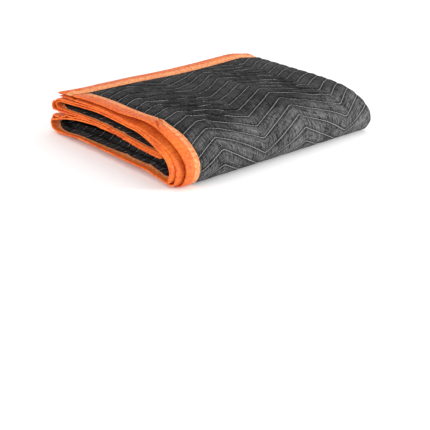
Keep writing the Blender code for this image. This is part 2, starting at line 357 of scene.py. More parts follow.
    def point(self, q: Array) -> tuple[Array, ...]:
        """The pair's middle.

        Args:
            q: Measure along the folds, which may run past either end.

        Returns:
            u and z, and the direction of the pair's outer side in u and z.
        """
        heading = np.interp(q, self.line_q, self.heading)
        past_end = q - np.clip(q, 0, self.length)
        u = np.interp(q, self.line_q, self.line_u) + past_end * np.cos(heading)
        z = np.interp(q, self.line_q, self.line_z) + past_end * np.sin(heading)
        return u, z, -np.sin(heading), np.cos(heading)

    def edge(self, q: Array, name: str) -> Array:
        """How far an edge stands in, eased from one station to the next.

        Args:
            q: Measure along the folds.
            name: A leaf, or the folded end.

        Returns:
            The distance at each point.
        """
        values = self.edges[name]
        index = np.clip(np.searchsorted(self.stations, q) - 1, 0, len(self.stations) - 2)
        start, end = self.stations[index], self.stations[index + 1]
        return values[index] + (values[index + 1] - values[index]) * smooth((q - start) / (end - start))

    def arch(self, x: Array, u: Array, z: Array) -> Array:
        """How far the bottom pass stands off the floor between its two folds, at the bound end."""
        near_end = fade(x, self.arch_length, -self.folded_end_x)
        return self.arch_height * window(u, *self.arch_run) * fade(z, *self.arch_top) * near_end

    def settle(self, x: Array, u: Array, z: Array, inward: Array) -> Array:
        """How the layers have settled.

        Args:
            x: Place along the stack.
            u: Place from the back edge to the nose.
            z: Height in the section.
            inward: Distance in from the leaf's own bound edge.

        Returns:
            The rise at each point.
        """
        slack = smooth((z - self.slack_below) / (self.slack_above - self.slack_below))
        droop = self.droop * smooth(1 + (x - self.folded_end_x) / self.droop_length)
        lift = self.edge_lift * fade(inward, self.bound_strip_end) * fade(z, self.lift_height)
        swells = sum(swell.rise(x, u) for swell in self.swells)
        return lift + self.arch(x, u, z) + slack * (swells - droop)

    def skewed(self, x: Array, q: Array) -> Array:
        """The length q shifted by the skew of the top pass, taken up before the nose turns under."""
        start, end = self.skew_fade
        return q + sum(skew.at(x) for skew in self.skews) * np.clip((end - q) / (end - start), 0.0, 1.0)

    def flap_curl(self, p: Array, q: Array) -> Array:
        """How far the top leaf's edge curls away from the leaf below it."""
        along = fade(np.abs(q - self.curl_middle), self.curl_half_run)
        return self.curl * along * fade(p, self.curl_length)

    def place(self, p: Array, q: Array, w: Array) -> Array:
        """Lays points of the flat cloth into the stack.

        Args:
            p: Measure across the pad.
            q: Measure along the folds.
            w: Distance off the cloth's middle, towards its face.

        Returns:
            One row of x, y and z for each point.
        """
        p, q, w = np.broadcast_arrays(*(np.asarray(value, float) for value in (p, q, w)))
        on_outer = p < self.leaf_run
        bound = np.where(on_outer, self.edge(q, "outer"), self.edge(q, "inner")) - self.folded_end_x
        folded = self.folded_end_x + self.edge(q, "folded_end")
        across = np.where(on_outer, p, self.pad_width - p) / self.leaf_run
        straight_x = bound + (folded - bound) * np.minimum(across, 1.0)
        turn = np.clip((p - self.leaf_run) / PAIR_HALF, 0, math.pi)
        u, z, normal_u, normal_z = self.point(self.skewed(straight_x, q))
        x = straight_x + (PAIR_HALF + w) * np.sin(turn)
        off = (PAIR_HALF + w) * np.cos(turn) + np.where(on_outer, self.flap_curl(p, q), 0.0)
        level = z + self.settle(straight_x, u, z, across * self.leaf_run) + off * normal_z
        return np.stack((x - self.footprint_x, self.footprint_u - u - off * normal_u, level), axis=-1)


@dataclass(frozen=True)
class Drift:
    """A place where the lines of stitching have wandered off their even pattern."""

    p: float
    q: float
    half_p: float
    half_q: float
    shift_p: float
    shift_q: float

    def share(self, p: Array, q: Array) -> Array:
        """How much of the shift there is at a point."""
        return np.exp(-(((p - self.p) / self.half_p) ** 2) - ((q - self.q) / self.half_q) ** 2)


@dataclass(frozen=True)
class Quilting:
    """Zigzag lines of stitching across the pad, and the soft relief between them."""

    spacing: float = 0.0228
    first: float = 0.0174
    stitch: float = 0.0052
    thread_width: float = 0.00075
    thread_height: float = 0.0005
    corner_round: float = 0.0025
    settling_rounds: int = 5
    slope_reach: float = 0.008
    pillow_power: float = 0.62
    corners: tuple = (
        # p, then how far the line stands to the side there
        (-0.021, 0.0245), (0.090, -0.0245), (0.191, 0.0230), (0.308, -0.0245), (0.422, 0.0275),
        (0.533, -0.0245), (0.644, 0.0245), (0.755, -0.0245), (0.866, 0.0245), (0.977, -0.0245),
        (1.088, 0.0245),
    )
    drifts: tuple = (
        #     p      q      half_p  half_q  shift_p  shift_q
        Drift(0.070, 0.125, 0.055,  0.050,  0.019,   0.0100),
        Drift(0.175, 0.080, 0.040,  0.060,  0.013,   0.0000),
        Drift(0.296, 0.095, 0.040,  0.050,  0.010,  -0.0040),
        Drift(0.312, 0.190, 0.050,  0.055, -0.004,  -0.0050),
        Drift(0.305, 0.315, 0.060,  0.050,  0.004,   0.0040),
        Drift(0.412, 0.180, 0.045,  0.060,  0.010,   0.0010),
        Drift(0.430, 0.290, 0.045,  0.040, -0.006,   0.0000),
    )

    def zigzag(self, p: Array, q: Array) -> Array:
        """How far a line of stitching stands to the side.

        Args:
            p: Measure across the pad.
            q: Measure along the folds.

        Returns:
            The distance along the folds at each point.
        """
        across, side = np.array(self.corners).T
        shares = [drift.share(p, q) for drift in self.drifts]
        here = p + sum(drift.shift_p * share for drift, share in zip(self.drifts, shares))
        aside = sum(drift.shift_q * share for drift, share in zip(self.drifts, shares))
        ends = (np.interp(here + step, across, side) for step in (-self.corner_round, self.corner_round))
        return aside + sum(ends) / 2

    def past_first(self, p: Array, q: Array) -> Array:
        """Distance along the folds from the first line of stitching."""
        return q - self.zigzag(p, q) - self.first

    def line_at(self, number: Array, p: Array) -> Array:
        """Where a line of stitching lies along the folds.

        Args:
            number: Which line.
            p: Measure across the pad.

        Returns:
            The measure q of each point on it.
        """
        even = self.first + number * self.spacing
        q = even
        for _ in range(self.settling_rounds):
            q = even + self.zigzag(p, q)
        return q

    def from_line(self, p: Array, q: Array) -> Array:
        """Distance from the nearest line of stitching, measured along the folds."""
        number = self.past_first(p, q) / self.spacing
        return np.abs(number - np.round(number)) * self.spacing

    def forward(self, p: Array, q: Array) -> Array:
        """1 where the lines run forward to the nose as they cross the pad, and 0 where they run back."""
        ahead, behind = self.zigzag(p + self.slope_reach, q), self.zigzag(p - self.slope_reach, q)
        return smooth((ahead - behind) / (2 * self.slope_reach) + 0.5)

    def pillow(self, p: Array, q: Array) -> Array:
        """The rounding between two lines, 0 at a line and 1 halfway."""
        share = self.from_line(p, q) / (self.spacing / 2)
        return np.sin(math.pi / 2 * np.clip(share, 0, 1)) ** self.pillow_power


# Creases, each a row of p, q, heading, half length, half width, height and bow.
CREASES = (
    (0.130, 0.120, 28, 0.070, 0.0060, 0.0016, 0.004),
    (0.150, 0.142, 22, 0.060, 0.0050, 0.0013, -0.003),
    (0.205, 0.155, 10, 0.055, 0.0055, 0.0012, 0.002),
    (0.255, 0.150, -12, 0.060, 0.0060, 0.0010, -0.004),
    (0.110, 0.085, 24, 0.050, 0.0048, 0.0012, 0.003),
    (0.310, 0.090, 20, 0.080, 0.0060, 0.0010, 0.003),
    (0.345, 0.128, 26, 0.060, 0.0050, 0.0012, -0.002),
    (0.395, 0.100, 30, 0.060, 0.0055, 0.0011, 0.003),
    (0.180, 0.205, -24, 0.045, 0.0070, 0.0014, 0.003),
    (0.225, 0.262, -30, 0.050, 0.0080, 0.0018, -0.004),
    (0.290, 0.285, 35, 0.040, 0.0070, 0.0015, 0.003),
    (0.420, 0.270, 40, 0.045, 0.0080, 0.0014, 0.003),
    (0.105, 0.255, 62, 0.040, 0.0060, 0.0016, 0.002),
    (0.075, 0.290, 80, 0.036, 0.0050, 0.0012, 0.002),
    (0.060, 0.170, 48, 0.030, 0.0045, 0.0012, 0.002),
)
# Kinks of the tape's top flap and of the corner beside it.
KINKS = (
    (0.0120, 0.2255, 122, 0.030, 0.0018, -0.0034),
    (0.0158, 0.2279, 124, 0.030, 0.0019, 0.0028),
    (0.0196, 0.2303, 120, 0.026, 0.0018, -0.0024),
    (0.0082, 0.2231, 121, 0.026, 0.0020, 0.0026),
    (0.026, 0.221, 70, 0.020, 0.0028, 0.0026),
    (0.024, 0.318, 92, 0.034, 0.0012, 0.0007),
    (0.029, 0.322, 90, 0.034, 0.0012, -0.0007),
    (0.018, 0.130, 106, 0.022, 0.0026, 0.0008, 0.001),
    (0.018, 0.292, 20, 0.016, 0.0026, -0.0008),
    (0.012, 0.020, 62, 0.022, 0.0030, 0.0022),
    (0.020, 0.012, 28, 0.022, 0.0028, -0.0018),
    (0.034, 0.018, 70, 0.020, 0.0032, 0.0018),
    (0.006, 0.036, 12, 0.018, 0.0030, 0.0016),
    (0.050, 0.014, 112, 0.018, 0.0030, -0.0014),
    (0.014, 0.078, 84, 0.034, 0.0032, 0.0012),
    (0.020, 0.150, 98, 0.040, 0.0036, 0.0014),
)
# Rolls of cloth inside the stack, and crumples of the tape where it loops at the bound end.
ROLLS = (
    (1.010, 0.2500, 90, 0.130, 0.0160, 0.0016),
    (1.002, 1.1200, 90, 0.220, 0.0085, 0.0034),
    (0.991, 0.4700, 90.5, 0.190, 0.0080, 0.0046, 0.002),
    (0.992, 0.6300, 89, 0.140, 0.0075, 0.0040, -0.002),
    (0.969, 0.4300, 91, 0.120, 0.0090, 0.0075, 0.003),
    (0.966, 0.5400, 88, 0.130, 0.0100, 0.0085, -0.004),
    (0.970, 0.6600, 92, 0.110, 0.0090, 0.0070, 0.003),
    (0.945, 0.7300, 84, 0.080, 0.0090, 0.0050, 0.003),
    (0.006, 0.7050, 6, 0.040, 0.0045, 0.0048),
    (0.008, 0.6850, -12, 0.032, 0.0050, -0.0026),
    (0.008, 0.7220, -12, 0.030, 0.0034, -0.0030),
    (0.006, 0.7420, 8, 0.028, 0.0036, 0.0030),
    (0.008, 0.7600, 20, 0.026, 0.0030, -0.0026),
    (1.010, 0.7000, 174, 0.030, 0.0030, -0.0028),
    (1.010, 0.6820, 8, 0.030, 0.0030, 0.0024),
    (0.006, 1.2560, 12, 0.026, 0.0030, 0.0030),
    (0.008, 1.2680, -10, 0.026, 0.0028, -0.0026),
    (0.008, 1.2460, -6, 0.024, 0.0026, -0.0022),
    (1.010, 1.2580, 170, 0.024, 0.0026, 0.0024),
    (0.006, 0.8480, 16, 0.018, 0.0026, -0.0024),
    (0.006, 0.8620, -10, 0.018, 0.0028, 0.0022),
    (1.010, 0.8720, 164, 0.018, 0.0026, -0.0022),
    (1.010, 0.8880, 12, 0.018, 0.0030, 0.0022),
    (1.010, 1.1060, 168, 0.018, 0.0026, -0.0022),
    (1.004, 0.4900, 172, 0.016, 0.0060, 0.0018),
    (1.004, 0.4350, 8, 0.016, 0.0050, 0.0022),
    (1.006, 1.0800, 14, 0.016, 0.0045, 0.0018),
    (1.006, 1.1250, -10, 0.016, 0.0040, 0.0016),
    (0.008, 1.1000, 10, 0.016, 0.0040, 0.0020),
    (0.008, 1.1600, -14, 0.016, 0.0042, 0.0018),
    (0.008, 1.0400, 12, 0.016, 0.0036, 0.0016),
)


@dataclass
class ClothForm:
    """Where the face of the cloth lies: its pillows, puckers, ripples and listed creases."""

    stack: FoldedStack
    quilting: Quilting
    half_at_stitch: float = 0.00105
    half_at_crest: float = 0.0015
    half_in_binding: float = 0.0006
    bound_strip: float = 0.0355
    bound_strip_end: float = 0.0415
    half_at_rim: float = 0.00025
    rim: float = 0.0030
    # over what length the face goes under cover, and how far before its fold ends that starts
    nose_cover: tuple = (0.035, 0.050)
    hairpin_cover: tuple = (0.006, 0.002)
    # how far into the back fold it comes into the open, and how far before the fold's end it
    # starts to be covered and is covered
    back_cover: tuple = (0.030, 0.095, 0.060)
    free_pillow: float = 0.0014
    crease_gain: float = 1.5
    pucker: float = 0.00060
    pucker_reach: float = 0.0065
    pucker_cells: Unevenness = Unevenness(23, 0.0085)
    line_stride: float = 7.3
    ripple: float = 0.00115
    ripple_length: float = 0.0117
    ripple_on_slopes: float = 0.35
    ripple_strength: Unevenness = Unevenness(31, 0.050, 0.060)
    ripple_drift: float = 0.8
    ripple_cells: Unevenness = Unevenness(37, 0.035, 0.030)
    parting: float = 0.0013
    parting_reach: float = 0.030
    parting_fade: float = 0.040
    # painted shading of the face: how much relief spans its range, and painted light over the nose, less
    # towards the bound end
    painted_shading_depth: float = 0.0022
    nose_painted_light: float = 0.60
    painted_light_run: tuple = (0.038, 0.092, 0.020)
    painted_light_at_bound_end: float = 0.80
    painted_light_spread: tuple = (0.060, 0.220)
    end_tuck: float = 0.048
    end_tuck_start: float = 1.600
    end_tuck_reach: float = 0.140
    squeeze: float = 0.72
    squeeze_reach: float = 0.220
    squeeze_run: tuple = (0.080, 0.120)
    tip_sag: float = 0.0030
    tip_run: tuple = (-0.006, 0.002, 0.080)
    billow: float = 0.0014
    billow_cells: Unevenness = Unevenness(11, 0.055, 0.045)
    tongue_sag: float = 0.0068
    sag_reach: float = 0.160
    corner_pull: float = 0.0050
    corner_reach: float = 0.055
    roll_unevenness: float = 0.35
    roll_cells: Unevenness = Unevenness(41, 0.020, 0.026)
    edge_shifts: tuple = (
        # q      outer    inner
        (0.000,  0.0000,  0.0000),
        (0.070,  0.0008, -0.0022),
        (0.150,  0.0010, -0.0036),
        (0.240,  0.0038, -0.0030),
        (0.340,  0.0046, -0.0010),
        (0.400,  0.0000,  0.0000),
        (0.680,  0.0000,  0.0000),
        (0.730, -0.0022,  0.0006),
        (0.780,  0.0000,  0.0000),
        (1.240,  0.0000,  0.0000),
        (1.260, -0.0020,  0.0000),
        (1.290,  0.0000,  0.0000),
    )
    shift_reach: float = 0.060

    def inward(self, p: Array) -> Array:
        """Distance in from the nearest long edge of the flat pad."""
        return np.minimum(p, self.stack.pad_width - p)

    def from_edge(self, p: Array, q: Array) -> Array:
        """Distance in from the nearest edge of the flat pad."""
        return np.minimum(self.inward(p), np.minimum(q, self.stack.length - q))

    def clear_of_tape(self, p: Array, q: Array) -> Array:
        """0 under the binding and 1 clear of it."""
        inward = self.from_edge(p, q) - self.bound_strip
        return smooth(inward / (self.bound_strip_end - self.bound_strip))

    def in_the_open(self, p: Array, q: Array) -> Array:
        """Where the face has nothing over it: the top, the nose and the back fold.

        Args:
            p: Measure across the pad.
            q: Measure along the folds.

        Returns:
            1 in the open and 0 between layers.
        """
        nose_end = self.stack.spans["nose"][1]
        start, end = self.stack.spans["back"]
        full, fading, covered = self.back_cover
        top = fade(q, self.nose_cover[0], nose_end - self.nose_cover[1])
        back = window(q, start, start + full, end - fading, end - covered)
        outer = fade(p, self.hairpin_cover[0], self.stack.leaf_run - self.hairpin_cover[1])
        return np.maximum(top, back) * outer

    def lie(self, p: Array, q: Array) -> Array:
        """How far creases, rolls and billows carry the cloth and its tape off the even folds.

        Args:
            p: Measure across the pad.
            q: Measure along the folds.

        Returns:
            The distance at each point, towards the face.
        """
        tables = (CREASES, KINKS, ROLLS)
        creases, kinks, rolls = (sum(Crease(*row).rise(p, q) for row in table) for table in tables)
        billow = self.billow * self.billow_cells.share(p, q) * self.clear_of_tape(p, q)
        free = self.in_the_open(p, q) * (np.maximum(self.crease_gain * creases, 0) + billow + kinks)
        rolls = rolls * (1 + self.roll_unevenness * self.roll_cells.at(p, q))
        before_tuck = fade(q, self.parting_fade, self.stack.spans["nose"][1] - self.parting_fade)
        return free + rolls + self.parting * fade(self.inward(p), self.parting_reach) * before_tuck

    def puckers(self, p: Array, q: Array) -> Array:
        """Short wrinkles that the stitching draws across its own lines.

        Args:
            p: Measure across the pad.
            q: Measure along the folds.

        Returns:
            The height at each point.
        """
        number = np.round(self.quilting.past_first(p, q) / self.quilting.spacing)
        reach = np.exp(-((self.quilting.from_line(p, q) / self.pucker_reach) ** 2))
        return self.pucker * reach * self.pucker_cells.at(p, number * self.line_stride)

    def ripples(self, p: Array, q: Array) -> Array:
        """Uneven ripples that run beside the stitching.

        Args:
            p: Measure across the pad.
            q: Measure along the folds.

        Returns:
            The height at each point.
        """
        slope_share = self.ripple_on_slopes + (1 - self.ripple_on_slopes) * self.quilting.forward(p, q)
        drift = self.ripple_drift * self.ripple_cells.at(p, q)
        wave = np.sin(2 * math.pi * (self.quilting.past_first(p, q) / self.ripple_length + drift))
        return self.ripple * self.ripple_strength.share(p, q) * slope_share * wave

    def painted_shading(self, p: Array, q: Array) -> Array:
        """Painted shading of the face: painted shade in the valleys, painted light on the crests and over
        the nose.

        Args:
            p: Measure across the pad.
            q: Measure along the folds.

        Returns:
            0 in the valleys, towards 1 on the crests and over the nose.
        """
        pillow = self.free_pillow * (self.quilting.pillow(p, q) - 0.5)
        relief = pillow + self.puckers(p, q) + self.ripples(p, q)
        # painted light over the nose, less towards the bound end
        start, end = self.stack.spans["nose"]
        from_start, to_full, before_end = self.painted_light_run
        painted_light = window(q, start + from_start, start + to_full, end - before_end, end)
        inner_share = smooth((p - self.painted_light_spread[0]) / self.painted_light_spread[1])
        painted_light = painted_light * (self.painted_light_at_bound_end + (1 - self.painted_light_at_bound_end) * inner_share)
        return np.clip(0.5 + relief / self.painted_shading_depth, 0, 1) * (1 - self.nose_painted_light) + self.nose_painted_light * painted_light

    def half(self, p: Array, q: Array, face: Array) -> Array:
        """How far a side of the cloth stands off its middle.

        Args:
            p: Measure across the pad.
            q: Measure along the folds.
            face: True on the face and False on the back.

        Returns:
            The distance, above 0 on both sides.
        """
        pillow = self.quilting.pillow(p, q)
        even = self.half_at_stitch + (self.half_at_crest - self.half_at_stitch) * pillow
        free = self.free_pillow * pillow + self.puckers(p, q) + self.ripples(p, q)
        rim_share = smooth(self.from_edge(p, q) / self.rim)
        rim = self.half_at_rim + (self.half_in_binding - self.half_at_rim) * rim_share
        clear = self.clear_of_tape(p, q)
        return rim + clear * (even - self.half_in_binding + self.in_the_open(p, q) * face * free)

    def sag(self, p: Array, q: Array) -> Array:
        """How far the upper side of the tongue sinks at the bound end.

        Args:
            p: Measure across the pad.
            q: Measure along the folds.

        Returns:
            The drop at each point.
        """
        start, end = self.stack.spans["upper tongue"]
        along = np.sin(math.pi * np.clip((q - start) / (end - start), 0, 1)) ** 2
        tip = self.tip_sag * window(q, *(start + run for run in self.tip_run), end)
        return (self.tongue_sag * along + tip) * fade(self.inward(p), self.sag_reach)

    def tuck(self, p: Array, q: Array) -> Array:
        """How far the corners of the hidden end are drawn into the stack."""
        drawn = smooth((q - self.end_tuck_start) / (self.stack.length - self.end_tuck_start))
        return self.end_tuck * drawn * fade(self.inward(p), self.end_tuck_reach)

    def shift(self, p: Array, q: Array) -> Array:
        """How far each leaf's edge stands in from where the even folds put it.

        Args:
            p: Measure across the pad.
            q: Measure along the folds.

        Returns:
            The distance at each point.
        """
        stations, outer, inner = np.array(self.edge_shifts).T
        on_outer = p < self.stack.pad_width / 2
        size = np.where(on_outer, np.interp(q, stations, outer), np.interp(q, stations, inner))
        return size * fade(self.inward(p), self.shift_reach)

    def pull(self, p: Array, q: Array) -> Array:
        """How far the top corner is pulled out past the bound end."""
        return self.corner_pull * fade(p, self.corner_reach) * fade(q, self.corner_reach)

    def flattened(self, p: Array, q: Array) -> Array:
        """How much of its thickness the pair keeps, less in the tongue where the pad presses on it.

        Args:
            p: Measure across the pad.
            q: Measure along the folds.

        Returns:
            The share at each point.
        """
        start, end = self.stack.spans["lower tongue"][0], self.stack.spans["upper tongue"][1]
        pressed = window(q, start, start + self.squeeze_run[0], end - self.squeeze_run[1], end)
        return 1 - (1 - self.squeeze) * pressed * fade(self.inward(p), self.squeeze_reach)

    def lay(self, p: Array, q: Array, w: Array) -> Array:
        """Lays points of the flat cloth into the stack, creases and all.

        Args:
            p: Measure across the pad.
            q: Measure along the folds.
            w: Distance off the cloth's middle, towards its face.

        Returns:
            One row of x, y and z for each point.
        """
        kept = self.flattened(p, q)
        off = (w + self.lie(p, q)) * kept - PAIR_HALF * (1 - kept)
        places = self.stack.place(p, q, off)
        places[..., 0] += self.tuck(p, q) + self.shift(p, q) - self.pull(p, q)
        places[..., 2] -= self.sag(p, q)
        return places


def flat_grid(columns: Array, rows: Array) -> BMesh:
    """A flat grid with its lines at given measures.

    Args:
        columns: First measures of the lines.
        rows: Second measures of the lines.

    Returns:
        The grid in the plane of the two measures.
    """
    grid = bmesh.new()
    across, along = len(columns) - 1, len(rows) - 1
    bmesh.ops.create_grid(grid, x_segments=across, y_segments=along, size=1.0)
    for vert in grid.verts:
        column = round((vert.co.x + 1) / 2 * across)
        row = round((vert.co.y + 1) / 2 * along)
        vert.co = (columns[column], rows[row], 0.0)
    return grid


def even_steps(*stops: float, step: float) -> Array:
    """Measures from the first stop to the last, through every stop, about a step apart."""
    parts = [np.linspace(a, b, max(1, round((b - a) / step)) + 1)[1:] for a, b in zip(stops, stops[1:])]
    return np.concatenate([[stops[0]], *parts])


def write_uv(sheet: BMesh, name: str, first: Array, second: Array) -> None:
    """Writes two measures of each vertex as a UV map.

    Args:
        sheet: The sheet, with its vertices numbered.
        name: Name of the map.
        first: The map's first measure.
        second: The map's second measure.
    """
    layer = sheet.loops.layers.uv.new(name)
    pairs = np.stack((first, second), axis=-1) * UV_PER_METRE
    for face in sheet.faces:
        for loop in face.loops:
            loop[layer].uv = pairs[loop.vert.index]


def lay_sheet(
    sheet: BMesh, lay: Lay, past_line: Measure | None = None, painted_shading: Measure | None = None
) -> None:
    """Gives a flat sheet its second side and lays both into the stack.

    Args:
        sheet: The sheet in the plane of its two flat measures, which a UV map keeps.
        lay: Takes the two measures and the side, 1 or -1, to places.
        past_line: Gives the distance past the first line of stitching, for a second UV map.
        painted_shading: Gives the painted shade and light of the face, for an attribute.
    """
    bmesh.ops.solidify(sheet, geom=sheet.faces[:], thickness=1.0)
    sheet.verts.ensure_lookup_table()
    sheet.verts.index_update()
    first, second, third = np.array([vert.co[:] for vert in sheet.verts]).T
    write_uv(sheet, "flat", first, second)
    if past_line is not None:
        write_uv(sheet, "sewn", first, past_line(first, second))
    # the painted shade and light of the face, kept as an attribute for the finish
    if painted_shading is not None:
        painted_lighting = sheet.verts.layers.float.new("painted_shading")
        for vert, value in zip(sheet.verts, painted_shading(first, second)):
            vert[painted_lighting] = value
    side = np.where(third > (third.min() + third.max()) / 2, 1.0, -1.0)
    for vert, place in zip(sheet.verts, lay(first, second, side)):
        vert.co = place


def new_mesh(name: str, shape: BMesh) -> bpy.types.Mesh:
    """A mesh of a shape, which is freed.

    Args:
        name: Name of the mesh.
        shape: What it is made of.

    Returns:
        The mesh.
    """
    mesh = bpy.data.meshes.new(name)
    shape.to_mesh(mesh)
    shape.free()
    return mesh


def link(name: str, data: bpy.types.ID) -> Piece:
    """Puts a mesh, a light or a camera into the scene.

    Args:
        name: Name of the object.
        data: What it shows.

    Returns:
        The object.
    """
    made = bpy.data.objects.new(name, data)
    bpy.context.scene.collection.objects.link(made)
    return made


def finish_piece(name: str, shape: BMesh, material: Material) -> Piece:
    """Puts a closed shape into the scene as a piece that rides with the pad.

    Args:
        name: Name of the piece.
        shape: Its finished form.
        material: Its finish.

    Returns:
        The piece.
    """
    bmesh.ops.recalc_face_normals(shape, faces=shape.faces[:])
    mesh = new_mesh(name, shape)
    mesh.shade_smooth()
    mesh.materials.append(material)
    piece = link(name, mesh)
    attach(piece, "root")
    LOG.info("%s: %d faces", name, len(mesh.polygons))
    return piece


@dataclass
class QuiltedCloth:
    """The quilted cloth of the whole pad, in all its folds."""

    form: ClothForm
    column_step: float = 0.0130
    row_step: float = 0.0120
    turn_step: float = 0.0046
    tight_step: float = 0.0019
    hairpin_steps: int = 6
    outer_end_step: float = 0.0089
    inner_end_step: float = 0.0044
    edge_row: float = 0.018
    fine_cuts: int = 3
    hollow_depth: float = 0.120
    hidden_run: float = 0.060

    def columns(self) -> Array:
        """The grid across the pad.

        Returns:
            The measure p of each line.
        """
        stack, form = self.form.stack, self.form
        leaf = even_steps(form.bound_strip_end, stack.leaf_run, step=self.column_step)
        outer = even_steps(0.0, form.bound_strip, step=self.outer_end_step)
        inner = even_steps(0.0, form.bound_strip, step=self.inner_end_step)
        hairpin = np.linspace(stack.leaf_run, stack.pad_width - stack.leaf_run, self.hairpin_steps + 1)
        far = stack.pad_width - np.concatenate([inner, leaf])[::-1]
        return np.concatenate([outer, leaf, hairpin[1:-1], far])

    def rows(self) -> Array:
        """The grid along the folds, with its lines closer together in the turns.

        Returns:
            The measure q of each line.
        """
        stack, form = self.form.stack, self.form
        closer = {
            "back": self.turn_step,
            "tongue": self.tight_step,
            "inner back": 2 * self.tight_step,
            "inner nose": self.turn_step,
        }
        edge = np.array([0.0, self.edge_row, form.bound_strip, form.bound_strip_end])
        parts = [edge]
        for name, (start, end) in list(stack.spans.items())[:-1]:
            step = closer.get(name, self.row_step)
            parts.append(even_steps(max(start, form.bound_strip_end), end, step=step)[1:])
        return np.concatenate([*parts, stack.length - edge[::-1]])

    def cut_finer(self, grid: BMesh, cuts: int, p_range: tuple, q_range: tuple) -> None:
        """Cuts a part of the grid into smaller faces.

        Args:
            grid: The flat grid.
            cuts: How many times each edge is cut.
            p_range: Where the part starts and ends across the pad.
            q_range: Where it starts and ends along the folds.
        """
        inside = [
            edge
            for edge in grid.edges
            if all(p_range[0] < vert.co.x < p_range[1] for vert in edge.verts)
            and all(q_range[0] < vert.co.y < q_range[1] for vert in edge.verts)
        ]
        bmesh.ops.subdivide_edges(grid, edges=inside, cuts=cuts, use_grid_fill=True)

    def flat_sheet(self) -> BMesh:
        """The flat cloth.

        Returns:
            Its grid, which is finer where it shows.
        """
        stack = self.form.stack
        nose_end, (back_start, back_end) = stack.spans["nose"][1], stack.spans["back"]
        outer = (-MM, stack.pad_width - stack.leaf_run + MM)
        hollow = (stack.pad_width - self.hollow_depth, stack.pad_width + MM)
        grid = flat_grid(self.columns(), self.rows())
        self.cut_finer(grid, self.fine_cuts, outer, (-MM, nose_end + MM))
        self.cut_finer(grid, 1, outer, (back_start - MM, back_end - self.hidden_run))
        self.cut_finer(grid, 1, hollow, (nose_end - self.hidden_run, stack.spans["upper tongue"][1]))
        return grid

    def lay(self, p: Array, q: Array, side: Array) -> Array:
        """Where a side of the cloth lies."""
        return self.form.lay(p, q, side * self.form.half(p, q, side > 0))

    def build(self, material: Material) -> Piece:
        """Lays the cloth into its folds.

        Args:
            material: Its finish.

        Returns:
            The cloth.
        """
        sheet = self.flat_sheet()
        lay_sheet(sheet, self.lay, self.form.quilting.past_first, self.form.painted_shading)
        cloth = finish_piece("pad_cloth", sheet, material)
        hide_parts("quilted_cloth")
        return cloth


